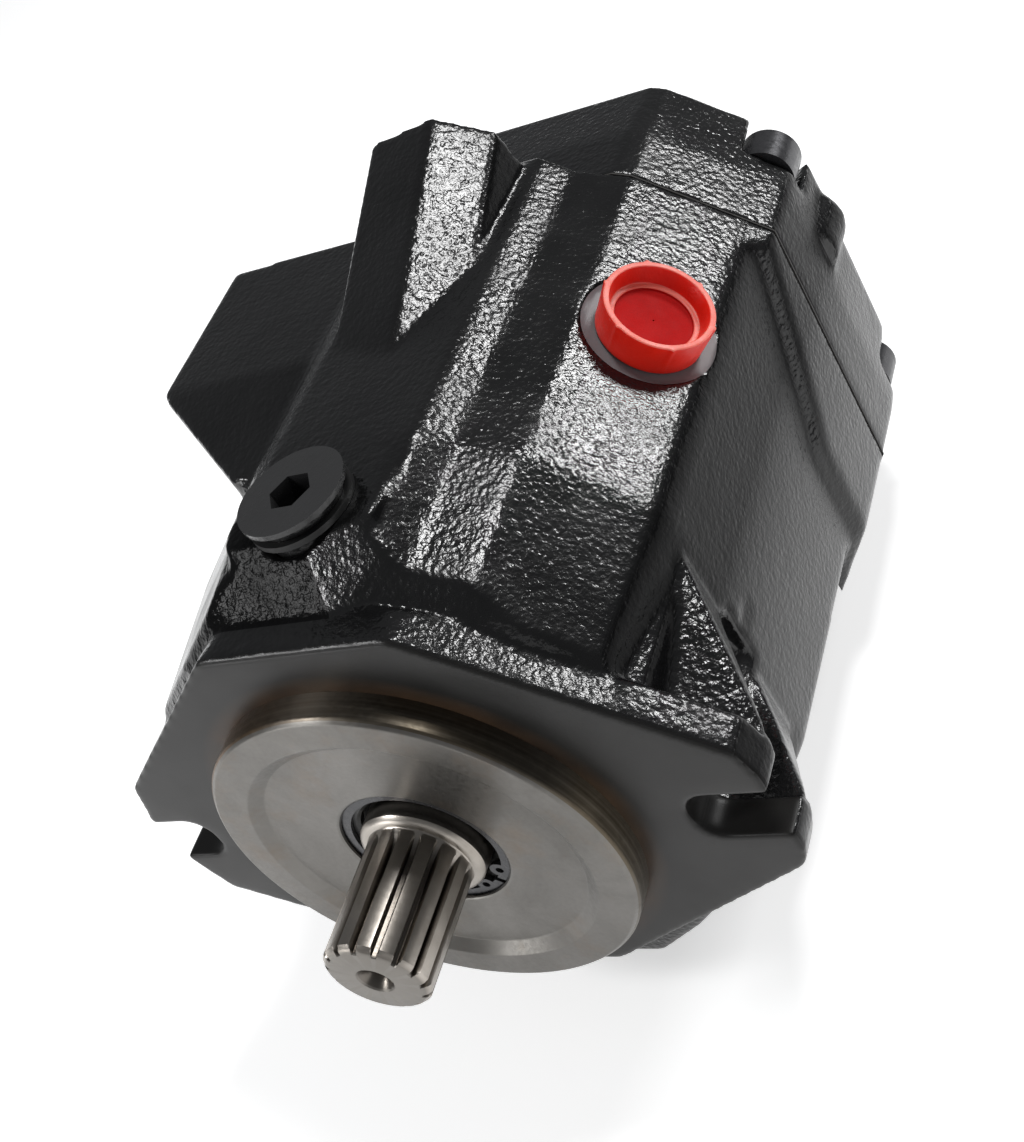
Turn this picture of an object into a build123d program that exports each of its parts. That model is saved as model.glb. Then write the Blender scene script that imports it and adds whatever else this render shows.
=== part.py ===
"""Axial piston pump of the swash-plate type, 28 cc class, with a pressure compensator.

Frame: the origin is the centre of the mounting flange's front face, on the shaft axis.
The shaft points along -Y, the pump runs back along +Y, and the case plug is on top, +Z.
All sizes are in millimetres.
"""
import os
from math import atan2, cos, degrees, radians, sin, tan

from build123d import *

os.makedirs("parts", exist_ok=True)

# ---- mounting flange: two open slots, round pilot, splined shaft ----
PILOT_R = 50.8
PILOT_H = 8.0
FLANGE_T = 10.5
SLOT_W = 14.3
SLOT_X = 73.0
EAR_X = 87.0             # right ear; the left one is cut shorter
LEFT_EAR_X = 81.7
BAY_R = 11.5             # room behind each slot for the bolt's head
BAY_Z = 10.5
WEB_Y = 48.0             # where the webs behind the ears run out into the side walls
SHAFT_R = 12.5
COLLAR_R = 15.0          # seal land and front bearing journal
COLLAR_Y = -8.0
SHAFT_TIP_Y = -39.0
SPLINE_END_Y = -9.0
SPLINE_TEETH = 15

# ---- housing casting ----
WALL_X = 66.5            # flat side walls
TOP_Z = 75.0             # flat top and bottom
TAPER_Y = 50.0           # in front of this the casting narrows to the flange
TAPER = 7.0              # degrees
EDGE_R = 10.0            # rounding between the right wall and the port facet
EDGE_Z = 41.0            # height of that edge
REAR_FLANGE_Y = 116.0    # start of the thick rim that takes the cover bolts
PART_Y = 147.0           # parting plane to the gasket
CAVITY_R = 57.0
CAVITY_Y = 30.0
CHANNEL_X = 10.0         # half width of the slots above and below for the control pistons
CHANNEL_Z = 63.7
SHOULDER_X = -78.0       # raised shoulder, left rear
SHOULDER_Z = 70.5
SHOULDER_Y0 = 60.0
SHOULDER_Y1 = 90.0
SHOULDER_Y2 = 140.0
ROOF_Y = 143.5           # rear end of the sloping roof over the control cylinder
ROOF_Z = 93.5
ROOF_SLOPE = 0.325
SLOPE_POINT = (9, 9.1, 63.3)             # where the three sloping faces in front of the plug meet
SLOPE_NORMALS = ((0, -0.66, 0.75), (0.14, -0.62, 0.77), (0.25, -0.7, 0.665))

# ---- case ports ----
PLUG_Y = 31.0
PLUG_BOSS_R = 20.5
PLUG_R = 11.0
PORT_ANGLE = 47.5        # case drain axis, up from +X
PORT_X = 54.6
PORT_Z = 51.7
PORT_Y = 99.5
SPOT_R = 16.4
SPOT_DEPTH = 1.0
CAP_R = 13.45
CAP_H = 9.0
DRAIN_R = 10.0

# ---- end cover ----
GASKET_T = 0.5
COVER_Y0 = PART_Y + GASKET_T
COVER_STEP_Y = 165.0     # behind this the cover narrows to its rear face
COVER_Y1 = 188.0
COVER_X = 70.0           # the housing's rear flares out to the same width
COVER_TAPER = 5.0        # degrees
FLARE = 1.07             # run of the flare along Y for each millimetre out
BOSS_H = 4.0             # height of the two port faces above the cover
PORT_DEPTH = 38.0
BOLT_X = 61.0
BOLT_Z = 36.5
BOLT_R = 4.5             # M10 thread at its pitch radius
BOLT_SEAT_Y = 173.0
BOLT_HEAD_R = 8.0
BOLT_HEAD_H = 10.0
POCKET_R = 9.0
SUCTION_X = -33.0
SUCTION_R = 12.7
PRESSURE_X = 33.0
PRESSURE_R = 9.5

# ---- rotating group ----
TILT = 15.0              # swash angle at full displacement, degrees
PIVOT_Y = 62.0           # the plane of the ball joints crosses the shaft axis here
PITCH_R = 32.0
PISTONS = 9
PISTON_R = 7.5
BALL_R = 5.5
SOLE_TOP = 5.0           # a slipper's sole, measured from its ball along the plate's normal
SOLE_FACE = 8.0
SOLE_R = 10.1
NECK_R = 7.4
GUIDE_R = 18.0
BLOCK_R = 44.0
BLOCK_Y0 = 84.0
BLOCK_Y1 = 139.95
PLATE_Y0 = 140.0
PLATE_Y1 = 144.0
CRADLE_R = 38.0
SHELL_T = 3.0
GAP = 0.05               # running clearance between sliding faces

# ---- control pistons above and below the cylinder block ----
CONTROL_Z = 54.0
SLEEVE_R = 9.4
STROKE_R = 7.0
BIAS_R = 5.5

# ---- compensator valve on the left wall, spool upright ----
VALVE_X = -87.5          # spool axis
VALVE_Y = 120.0
VALVE_Z = -13.0          # middle of the block
VALVE_FACE_X = -97.0
VALVE_W = 32.0
VALVE_H = 54.0
SCREW_Y = 23.0           # spacing of the valve's four screws
SCREW_Z = 42.0
SPOOL_R = 4.0

SIN = sin(radians(TILT))
COS = cos(radians(TILT))
PIVOT = Vector(0, PIVOT_Y, 0)
NORMAL = Vector(0, COS, -SIN)
MEAN_R = PITCH_R * (1 / COS + 1) / 2     # circle on which the slippers turn with the retainer
SWING_R = PITCH_R * (1 / COS - 1) / 2    # small circle of each slipper inside its hole


def save(body, name):
    """Label a finished sub-part and write its STEP file."""
    body.part.label = name
    export_step(body.part, f"parts/{name}.step")


def across(y):
    """Plane square to the shaft: +X right, +Z up. Extruding by a minus amount runs along +Y."""
    return Plane(origin=(0, y, 0), x_dir=(1, 0, 0), z_dir=(0, -1, 0))


def tilted(depth):
    """Plane parallel to the swash face, depth in front of the pivot, extruding to the front."""
    return Plane(origin=PIVOT - NORMAL * depth, x_dir=(1, 0, 0), z_dir=-NORMAL)


def ball_centre(index):
    """Rest position of a piston's ball, on the plane through the pivot."""
    angle = radians(360 / PISTONS * index)
    return PIVOT + Vector(PITCH_R * cos(angle), PITCH_R * sin(angle) * tan(radians(TILT)), PITCH_R * sin(angle))


def nose_y(z, radius):
    """Where a control piston's ball end sits when it rests on the swash plate at height z."""
    return PIVOT_Y + (radius - SOLE_FACE + z * SIN) / COS


def ring_profile(points):
    """Closed (radius, y) outline on the XY plane, for revolving about the shaft axis."""
    Polygon(*points, align=None)


def body_outline():
    """Outer section of the casting: flat walls with sloped facets between them."""
    right = [(22, TOP_Z), (28.9, 68.6), (42, 63.2), (WALL_X, EDGE_Z), (WALL_X, -40), (42, -63), (26, -TOP_Z)]
    left = [(-26, -TOP_Z), (-42, -63), (-WALL_X, -40), (-WALL_X, 38), (-24, 72.8), (-18, TOP_Z)]
    Polygon(*right, *left, align=None)


def cover_outline():
    """Outer section of the cover and of the housing's flared rear edge."""
    Polygon(
        (-6, 65), (37.5, 65), (42, 63), (COVER_X, 37.6), (COVER_X, -41), (50, -66),
        (-50, -66), (-COVER_X, -41), (-COVER_X, 38), (-30, 65), align=None,
    )


def kidneys():
    """The two curved slots of the valve plate, right and left of the shaft."""
    for start in (-58, 122):
        arc = CenterArc((0, 0), PITCH_R, start, 116, mode=Mode.PRIVATE)
        SlotArc(arc=arc, height=8.4)


# ---------------------------------------------------------------- housing
def flange_outline():
    """Flange with a full ear on the right and a shorter one on the left."""
    right = [(27, 63.5), (84.5, 20.5), (EAR_X, 12), (EAR_X, -12), (84.5, -19), (22, -56.5)]
    left = [(-20, -55.5), (-77, -21.8), (-LEFT_EAR_X, -8), (-LEFT_EAR_X, 8), (-77, 21.5), (-24, 63.5)]
    Polygon(*right, *left, align=None)


def build_shoulder():
    """Raised left rear shoulder, sloping up and out from the body."""
    with BuildPart() as shoulder:
        with BuildSketch(across(SHOULDER_Y0)):
            Polygon(
                (SHOULDER_X, SHOULDER_Z), (20, SHOULDER_Z), (20, -68), (-60, -68), (SHOULDER_X, -50),
                align=None,
            )
        extrude(amount=-(SHOULDER_Y2 - SHOULDER_Y0))
        with BuildSketch(Plane.YZ):
            Polygon(
                (SHOULDER_Y0, 62), (SHOULDER_Y1, SHOULDER_Z), (SHOULDER_Y2, SHOULDER_Z),
                (SHOULDER_Y2, -68), (SHOULDER_Y1, -68), (SHOULDER_Y0, -60), align=None,
            )
        extrude(amount=100, both=True, mode=Mode.INTERSECT)
        with BuildSketch(Plane.XY):
            Polygon(
                (-45, SHOULDER_Y0), (SHOULDER_X, SHOULDER_Y1), (SHOULDER_X, SHOULDER_Y2),
                (20, SHOULDER_Y2), (20, SHOULDER_Y0), align=None,
            )
        extrude(amount=100, both=True, mode=Mode.INTERSECT)
    return shoulder.part


def build_roof():
    """Sloping roof over the control cylinder, rising to the rear."""
    run = 75.0
    drop = ROOF_SLOPE * run
    with BuildPart() as roof:
        for y, fall in ((ROOF_Y, 0), (ROOF_Y - run, drop)):
            with BuildSketch(across(y)):
                Polygon(
                    (-17, 30), (-17, ROOF_Z - fall), (3.2, ROOF_Z + 2.3 - fall), (17.6, ROOF_Z - 6.3 - fall),
                    (21.5, 62 - fall), (21.5, 30), align=None,
                )
        loft(ruled=True)
    return roof.part


def build_rear_rim():
    """Thick lower edge at the rear of the housing, for the cover bolts."""
    with BuildPart() as rim:
        with BuildSketch(across(REAR_FLANGE_Y)):
            Polygon(
                (WALL_X, 0), (WALL_X, -45.4), (50, -66), (30, -TOP_Z), (-30, -TOP_Z), (-60, -60),
                (-WALL_X, -48), (-WALL_X, 0), align=None,
            )
        extrude(amount=-(PART_Y - REAR_FLANGE_Y))
        lower = rim.edges().group_by(Axis.Y)[0].filter_by(lambda e: e.center().Z < -44)
        chamfer(lower, 3)
    return rim.part


def build_flare():
    """Side walls stepping out to the cover's width along a slanted line."""
    front = [(140.9, 43), (120.6, -2.9), (116, -11), (114.8, -70)]
    with BuildPart() as flare:
        for x in (60, COVER_X):
            shift = FLARE * (x - WALL_X)
            with BuildSketch(Plane.YZ.offset(x)):
                Polygon(*[(y + shift, z) for y, z in front], (PART_Y, -70), (PART_Y, 43), align=None)
        loft(ruled=True)
        with BuildSketch(across(PART_Y)):
            cover_outline()
        extrude(amount=50, mode=Mode.INTERSECT)
        mirror(about=Plane.YZ)
    return flare.part


def build_web(side, reach):
    """Webs from one ear back to the side wall, above and below the slot."""
    with BuildPart() as web:
        with BuildSketch(Plane.XY.offset(BAY_Z)):
            Polygon(
                (side * 60, 5), (side * reach, 5), (side * reach, FLANGE_T), (side * 66, WEB_Y),
                (side * 60, WEB_Y), align=None,
            )
        extrude(amount=24)
        crest = Plane(origin=(side * reach, FLANGE_T, BAY_Z + 0.5), z_dir=(side * 0.35, -0.3, 0.89))
        with BuildSketch(crest):
            Rectangle(200, 200)
        extrude(amount=60, mode=Mode.SUBTRACT)
        mirror(about=Plane.XY)
    return web.part


def build_housing():
    """The casting: flange and pilot in front, open at the rear."""
    with BuildPart() as housing:
        for length, taper in ((TAPER_Y - PART_Y, 0), (TAPER_Y - FLANGE_T, TAPER)):
            with BuildSketch(across(TAPER_Y)) as section:
                body_outline()
                edge = section.vertices().sort_by_distance((WALL_X, EDGE_Z))[0]
                fillet([v for v in section.vertices() if v != edge], 2.5)
                fillet(section.vertices().sort_by_distance((WALL_X, EDGE_Z))[0], EDGE_R)
            extrude(amount=length, taper=taper)
        with BuildSketch(Plane.XY.offset(50)):
            with Locations((0, PLUG_Y)):
                Circle(PLUG_BOSS_R)
        extrude(amount=TOP_Z - 50)
        for normal in SLOPE_NORMALS:
            with BuildSketch(Plane(origin=SLOPE_POINT, z_dir=normal)):
                Rectangle(200, 200)
            extrude(amount=60, mode=Mode.SUBTRACT)
        add(build_rear_rim())
        add(build_flare())
        add(build_shoulder())
        add(build_roof())
        with BuildSketch(across(0)) as flange:
            flange_outline()
            fillet(flange.vertices(), 4)
        extrude(amount=-FLANGE_T)
        for side, reach in ((1, EAR_X - 0.5), (-1, LEFT_EAR_X - 0.5)):
            add(build_web(side, reach))
        # walls kept upright beside the bolt heads
        with BuildSketch(across(FLANGE_T)):
            for side in (-1, 1):
                Polygon(
                    (side * 50, -34), (side * 61, -34), (side * 66.3, -29), (side * 66.3, 29),
                    (side * 61, 34.3), (side * 50, 34.3), align=None,
                )
        extrude(amount=FLANGE_T - TAPER_Y)
        # pilot with a chamfered rim
        with BuildSketch(Plane.XY):
            ring_profile([(0, 5), (0, -PILOT_H), (PILOT_R - 1.2, -PILOT_H), (PILOT_R, -PILOT_H + 1.2), (PILOT_R, 5)])
        revolve(axis=Axis.Y)
        # shallow dished face inside the pilot rim
        with BuildSketch(Plane.XY):
            ring_profile([(0, -PILOT_H), (41.5, -PILOT_H), (38.5, -PILOT_H + 2.4), (0, -PILOT_H + 2.4)])
        revolve(axis=Axis.Y, mode=Mode.SUBTRACT)
        # bores: seal, retaining ring groove, front bearing, crank chamber
        with BuildSketch(Plane.XY):
            ring_profile(
                [(0, -7), (20, -7), (20, -4.65), (21.1, -4.65), (21.1, -3.35), (20, -3.35), (20, 4),
                 (26, 4), (26, 28), (34, CAVITY_Y), (CAVITY_R, CAVITY_Y), (CAVITY_R, PART_Y), (0, PART_Y)]
            )
        revolve(axis=Axis.Y, mode=Mode.SUBTRACT)
        with BuildSketch(Plane.YZ):
            with Locations((PIVOT_Y, 0)):
                Circle(CRADLE_R + SHELL_T)
        extrude(amount=46, both=True, mode=Mode.SUBTRACT)
        with BuildSketch(across(CAVITY_Y - 2)):
            Rectangle(2 * CHANNEL_X, 2 * CHANNEL_Z)
        extrude(amount=-(PART_Y - CAVITY_Y + 2), mode=Mode.SUBTRACT)
        # open slots and room behind them for bolt heads
        for side in (-1, 1):
            with BuildSketch(across(-1)):
                with Locations((side * SLOT_X, 0)):
                    Circle(SLOT_W / 2)
                with Locations((side * (SLOT_X + 20), 0)):
                    Rectangle(40, SLOT_W)
            extrude(amount=-60, mode=Mode.SUBTRACT)
            with BuildSketch(across(FLANGE_T)):
                with Locations((side * SLOT_X, 0)):
                    Circle(BAY_R)
                with Locations((side * (SLOT_X + 20), 0)):
                    Rectangle(40, 2 * BAY_Z)
            extrude(amount=-40, mode=Mode.SUBTRACT)
        # case plug bore from the top, case drain from the sloped facet
        with BuildSketch(Plane.XY.offset(TOP_Z)):
            with Locations((0, PLUG_Y)):
                Circle(PLUG_R + GAP)
        extrude(amount=-35, mode=Mode.SUBTRACT)
        with BuildSketch(port_plane(-SPOT_DEPTH)):
            Circle(SPOT_R)
        extrude(amount=14, mode=Mode.SUBTRACT)
        with BuildSketch(port_plane(0)):
            Circle(DRAIN_R)
        extrude(amount=-30, mode=Mode.SUBTRACT)
        # tapped holes for the cover bolts and the valve screws
        with BuildSketch(across(PART_Y)):
            with GridLocations(2 * BOLT_X, 2 * BOLT_Z, 2, 2):
                Circle(BOLT_R + GAP)
        extrude(amount=26, mode=Mode.SUBTRACT)
        with BuildSketch(valve_plane(SHOULDER_X - 1)):
            with GridLocations(SCREW_Y, SCREW_Z, 2, 2):
                Circle(2.5 + GAP)
        extrude(amount=-11, mode=Mode.SUBTRACT)
    save(housing, "housing")
    return housing


def port_plane(height):
    """Plane of the case drain facet, raised outwards by height."""
    angle = radians(PORT_ANGLE)
    axis = Vector(cos(angle), 0, sin(angle))
    return Plane(origin=Vector(PORT_X, PORT_Y, PORT_Z) + axis * height, x_dir=(0, 1, 0), z_dir=axis)


def valve_plane(x):
    """Plane square to X at the valve's centre, looking out of the left wall."""
    return Plane(origin=(x, VALVE_Y, VALVE_Z), x_dir=(0, 1, 0), z_dir=(-1, 0, 0))


housing = build_housing()


# ---------------------------------------------------------------- end cover and its fixings
def bolt_pockets():
    """Round pockets for the cover bolts' heads, open to the side and the nearest corner."""
    for x in (-BOLT_X, BOLT_X):
        for z in (-BOLT_Z, BOLT_Z):
            with Locations((x, z)):
                Circle(POCKET_R)
            turn = degrees(atan2(z, x))
            reach = Vector(x, z) * (1 + 10 / Vector(x, z).length)
            with Locations(reach):
                Rectangle(20, 2 * POCKET_R, rotation=turn)


with BuildPart() as end_cover:
    with BuildSketch(across(COVER_Y0)):
        cover_outline()
    extrude(amount=-(COVER_STEP_Y - COVER_Y0))
    with BuildSketch(across(COVER_STEP_Y)):
        cover_outline()
    extrude(amount=-(COVER_Y1 - COVER_STEP_Y), taper=COVER_TAPER)
    # round bosses on the side walls
    with BuildSketch(across(COVER_STEP_Y + 3)):
        with Locations((63, 14), (-63, 14)):
            Circle(10)
    extrude(amount=-16)
    # raised port faces at the rear
    for x, width, height in ((SUCTION_X - 2, 44, 72), (PRESSURE_X + 1, 38, 64)):
        with BuildSketch(across(COVER_Y1 - 1)):
            with Locations((x, 0)):
                RectangleRounded(width, height, 7)
        extrude(amount=-(BOSS_H + 1))
    # spigot into the crank chamber
    with BuildSketch(Plane.XY):
        ring_profile([(0, PLATE_Y1), (CAVITY_R - 0.5, PLATE_Y1), (CAVITY_R - 0.5, COVER_Y0 + 1), (0, COVER_Y0 + 1)])
    revolve(axis=Axis.Y)
    # rear bearing and the space round the shaft
    with BuildSketch(Plane.XY):
        ring_profile([(0, 140), (16, 140), (16, 170), (0, 170)])
    revolve(axis=Axis.Y, mode=Mode.SUBTRACT)
    # valve plate pin, kidney passages into the two rear ports
    with BuildSketch(across(PLATE_Y1)):
        with Locations((0, 36.5)):
            Circle(1.6)
    extrude(amount=-7, mode=Mode.SUBTRACT)
    with BuildSketch(across(PLATE_Y1 - 1)):
        kidneys()
    extrude(amount=-12, mode=Mode.SUBTRACT)
    for x, radius in ((SUCTION_X, SUCTION_R), (PRESSURE_X, PRESSURE_R)):
        with BuildSketch(across(COVER_Y1 + BOSS_H)):
            with Locations((x, 0)):
                Circle(radius)
        extrude(amount=PORT_DEPTH, mode=Mode.SUBTRACT)
    for x, gap_x, gap_z in ((SUCTION_X, 26.2, 52.4), (PRESSURE_X, 22.2, 47.6)):
        with BuildSketch(across(COVER_Y1 + BOSS_H)):
            with Locations((x, 0)):
                with GridLocations(gap_x, gap_z, 2, 2):
                    Circle(4.25)
        extrude(amount=18, mode=Mode.SUBTRACT)
    # counterbored clearance holes for the cover bolts
    with BuildSketch(across(COVER_Y0 - 1)):
        with GridLocations(2 * BOLT_X, 2 * BOLT_Z, 2, 2):
            Circle(BOLT_R + 0.3)
    extrude(amount=-60, mode=Mode.SUBTRACT)
    with BuildSketch(across(BOLT_SEAT_Y)):
        bolt_pockets()
    extrude(amount=-30, mode=Mode.SUBTRACT)
save(end_cover, "end_cover")

with BuildPart() as cover_gasket:
    with BuildSketch(across(PART_Y + 0.02)):
        cover_outline()
        Circle(CAVITY_R, mode=Mode.SUBTRACT)
        Rectangle(2 * CHANNEL_X, 2 * CHANNEL_Z, mode=Mode.SUBTRACT)
        with GridLocations(2 * BOLT_X, 2 * BOLT_Z, 2, 2):
            Circle(BOLT_R + 0.3, mode=Mode.SUBTRACT)
    extrude(amount=-(GASKET_T - 0.04))
save(cover_gasket, "cover_gasket")

with BuildPart() as cover_bolts:
    with BuildSketch(across(BOLT_SEAT_Y + 0.02)):
        with GridLocations(2 * BOLT_X, 2 * BOLT_Z, 2, 2):
            Circle(BOLT_HEAD_R)
    extrude(amount=-BOLT_HEAD_H)
    with BuildSketch(across(BOLT_SEAT_Y + 4)):
        with GridLocations(2 * BOLT_X, 2 * BOLT_Z, 2, 2):
            Circle(BOLT_R)
    extrude(amount=BOLT_SEAT_Y + 4 - PART_Y + 22)
    with BuildSketch(across(BOLT_SEAT_Y + BOLT_HEAD_H + 1)):
        with GridLocations(2 * BOLT_X, 2 * BOLT_Z, 2, 2):
            RegularPolygon(4, 6, major_radius=False)
    extrude(amount=6, mode=Mode.SUBTRACT)
save(cover_bolts, "cover_bolts")


# ---------------------------------------------------------------- shaft, bearings, seal
with BuildPart() as drive_shaft:
    with BuildSketch(Plane.XY):
        ring_profile(
            [(0, -22), (2, -23), (2, -35), (4, SHAFT_TIP_Y + 0.6), (4.5, SHAFT_TIP_Y), (11, SHAFT_TIP_Y),
             (SHAFT_R, SHAFT_TIP_Y + 1.5), (SHAFT_R, COLLAR_Y), (COLLAR_R - 0.8, COLLAR_Y + 0.6),
             (COLLAR_R, COLLAR_Y + 1.6), (COLLAR_R, 19.6), (17, 19.6), (17, 24), (SHAFT_R, 25.5),
             (SHAFT_R, 146), (10, 147), (10, 164), (9, 165), (0, 165)]
        )
    revolve(axis=Axis.Y)
    with BuildSketch(across(SHAFT_TIP_Y - 1)):
        with PolarLocations(SHAFT_R + 0.2, SPLINE_TEETH):
            Trapezoid(4.2, 1.9, 68, rotation=90)
    extrude(amount=-(SPLINE_END_Y - SHAFT_TIP_Y - 1), mode=Mode.SUBTRACT)
save(drive_shaft, "drive_shaft")

with BuildPart() as shaft_seal:
    with BuildSketch(Plane.XY):
        ring_profile(
            [(COLLAR_R + 0.1, 0.4), (16.2, -0.6), (16.2, -2.6), (17, -3.2), (19.95, -3.2), (19.95, 3.6),
             (17, 3.6), (COLLAR_R + 0.1, 2)]
        )
    revolve(axis=Axis.Y)
save(shaft_seal, "shaft_seal")

with BuildPart() as seal_retaining_ring:
    with BuildSketch(across(-4.55)):
        Circle(21)
        Circle(17.9, mode=Mode.SUBTRACT)
        with Locations((7.48, -16.04), (14.28, -10.45)):
            Circle(2.4)
        with Locations((12.5, -14.5)):
            Rectangle(1.5, 12, rotation=49, mode=Mode.SUBTRACT)
        with Locations((7.48, -16.04), (14.28, -10.45)):
            Circle(1, mode=Mode.SUBTRACT)
    extrude(amount=-1.1)
save(seal_retaining_ring, "seal_retaining_ring")

with BuildPart() as front_bearing_cup:
    with BuildSketch(Plane.XY):
        ring_profile([(23.5, 4.4), (25.95, 4.4), (25.95, 20.2), (23.5, 20.2)])
    revolve(axis=Axis.Y)
save(front_bearing_cup, "front_bearing_cup")

with BuildPart() as front_bearing_cone:
    with BuildSketch(Plane.XY):
        ring_profile([(COLLAR_R + GAP, 4.4), (18.1, 4.4), (18.1, 19.5), (COLLAR_R + GAP, 19.5)])
    revolve(axis=Axis.Y)
save(front_bearing_cone, "front_bearing_cone")

with BuildPart() as front_bearing_rollers:
    with BuildSketch(across(5.5)):
        with PolarLocations(20.8, 18):
            Circle(2.6)
    extrude(amount=-13)
    with BuildSketch(across(6.5)):
        Circle(21.4)
        Circle(20.2, mode=Mode.SUBTRACT)
    extrude(amount=-11)
save(front_bearing_rollers, "front_bearing_rollers")

with BuildPart() as rear_bearing_ring:
    with BuildSketch(Plane.XY):
        ring_profile([(13.6, 148), (15.95, 148), (15.95, 166), (13.6, 166)])
    revolve(axis=Axis.Y)
save(rear_bearing_ring, "rear_bearing_ring")

with BuildPart() as rear_bearing_rollers:
    with BuildSketch(across(149)):
        with PolarLocations(11.8, 16):
            Circle(1.7)
    extrude(amount=-14)
    with BuildSketch(across(150)):
        Circle(12.3)
        Circle(11.3, mode=Mode.SUBTRACT)
    extrude(amount=-12)
save(rear_bearing_rollers, "rear_bearing_rollers")


# ---------------------------------------------------------------- swash plate and cradle
with BuildPart() as swash_plate:
    # half-round cradle journals beside the shaft, cut off at the face
    with BuildSketch(Plane.YZ.offset(-43)):
        with Locations((PIVOT_Y, 0)):
            Circle(CRADLE_R)
    extrude(amount=86)
    with BuildSketch(Plane.YZ.offset(-19)):
        with Locations((PIVOT_Y, 0)):
            Circle(CRADLE_R + 1)
    extrude(amount=38, mode=Mode.SUBTRACT)
    with BuildSketch(tilted(14)):
        Rectangle(200, 200)
    extrude(amount=-100, mode=Mode.SUBTRACT)
    with BuildSketch(tilted(SOLE_FACE + GAP)):
        Circle(45.5)
        Rectangle(16, 120)
    extrude(amount=8)
    with BuildSketch(tilted(0)):
        Circle(19)
    extrude(amount=60, mode=Mode.SUBTRACT)
save(swash_plate, "swash_plate")


def build_shell(x):
    """Cradle bearing shell under one journal, reaching 38 degrees each way."""
    with BuildPart() as shell:
        with BuildSketch(Plane.YZ.offset(x)):
            with Locations((PIVOT_Y, 0)):
                Circle(CRADLE_R + SHELL_T - GAP)
                Circle(CRADLE_R + GAP, mode=Mode.SUBTRACT)
        extrude(amount=19)
        with BuildSketch(Plane.YZ.offset(x - 1)):
            Polygon((PIVOT_Y, 0), (PIVOT_Y - 60, 46), (PIVOT_Y - 60, -46), align=None)
        extrude(amount=21, mode=Mode.INTERSECT)
    return shell


cradle_bearing_left = build_shell(-41)
save(cradle_bearing_left, "cradle_bearing_left")

cradle_bearing_right = build_shell(22)
save(cradle_bearing_right, "cradle_bearing_right")


# ---------------------------------------------------------------- cylinder block
with BuildPart() as cylinder_block:
    with BuildSketch(across(BLOCK_Y0)):
        Circle(BLOCK_R)
    extrude(amount=-(BLOCK_Y1 - BLOCK_Y0))
    with BuildSketch(Plane.XY):
        ring_profile([(41.5, 100), (50, 100), (50, 118), (41.5, 118)])
    revolve(axis=Axis.Y, mode=Mode.SUBTRACT)
    with BuildSketch(across(BLOCK_Y0 - 1)):
        with PolarLocations(PITCH_R, PISTONS):
            Circle(PISTON_R + GAP)
    extrude(amount=-(134 - BLOCK_Y0 + 1), mode=Mode.SUBTRACT)
    with BuildSketch(across(130)):
        with PolarLocations(PITCH_R, PISTONS):
            Circle(4.2)
    extrude(amount=-20, mode=Mode.SUBTRACT)
    with BuildSketch(Plane.XY):
        ring_profile(
            [(0, 80), (SHAFT_R + 0.1, 80), (SHAFT_R + 0.1, 92), (18.2, 92), (18.2, 118.05), (19.3, 118.05),
             (19.3, 119.65), (18.2, 119.65), (18.2, 142), (0, 142)]
        )
    revolve(axis=Axis.Y, mode=Mode.SUBTRACT)
    with BuildSketch(across(82)):
        with PolarLocations(15.4, 3, start_angle=30):
            Circle(1.55)
    extrude(amount=-12, mode=Mode.SUBTRACT)
save(cylinder_block, "cylinder_block")

with BuildPart() as spring_washers:
    for y in (92.05, 116):
        with BuildSketch(across(y)):
            Circle(18)
            Circle(SHAFT_R + 0.3, mode=Mode.SUBTRACT)
        extrude(amount=-1.9)
save(spring_washers, "spring_washers")


with BuildPart() as spring_snap_ring:
    with BuildSketch(across(118.1)):
        Circle(19.2)
        Circle(16.6, mode=Mode.SUBTRACT)
        with Locations((0, -18)):
            Rectangle(7, 8, mode=Mode.SUBTRACT)
    extrude(amount=-1.5)
save(spring_snap_ring, "spring_snap_ring")


def coil(radius, wire, start, length, turns, z):
    """Round-wire compression spring along +Y from start."""
    with BuildPart() as spring:
        with BuildLine() as path:
            Helix(pitch=length / turns, height=length, radius=radius, center=(0, start, z), direction=(0, 1, 0))
        with BuildSketch(Plane(origin=path.line @ 0, z_dir=path.line % 0)):
            Circle(wire)
        sweep(path=path.line, is_frenet=True)
    return spring


block_spring = coil(15.5, 1.25, 95.3, 19.4, 4, 0)
save(block_spring, "block_spring")

with BuildPart() as push_pins:
    with BuildSketch(across(80.1)):
        with PolarLocations(15.4, 3, start_angle=30):
            Circle(1.5)
    extrude(amount=-11.85)
save(push_pins, "push_pins")

with BuildPart() as ball_guide:
    with BuildSketch(Plane.XY):
        with Locations((0, PIVOT_Y)):
            Circle(GUIDE_R)
        Rectangle(60, 200, align=(Align.MAX, Align.CENTER), mode=Mode.SUBTRACT)
    revolve(axis=Axis.Y)
    with BuildSketch(across(53)):
        Circle(30)
    extrude(amount=40, mode=Mode.SUBTRACT)
    with BuildSketch(across(70)):
        Circle(17.2)
    extrude(amount=-10)
    with BuildSketch(across(80)):
        Circle(30)
    extrude(amount=-20, mode=Mode.SUBTRACT)
    with BuildSketch(across(20)):
        Circle(SHAFT_R + GAP)
    extrude(amount=-80, mode=Mode.SUBTRACT)
save(ball_guide, "ball_guide")

with BuildPart() as retainer_plate:
    with BuildSketch(tilted(2)):
        Circle(44)
        with PolarLocations(MEAN_R, PISTONS):
            Circle(NECK_R + SWING_R + 0.35, mode=Mode.SUBTRACT)
    extrude(amount=SOLE_TOP - 2 - GAP)
    seat = Sphere(GUIDE_R + GAP, mode=Mode.PRIVATE).moved(Location(PIVOT))
    add(seat, mode=Mode.SUBTRACT)
save(retainer_plate, "retainer_plate")


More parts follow.
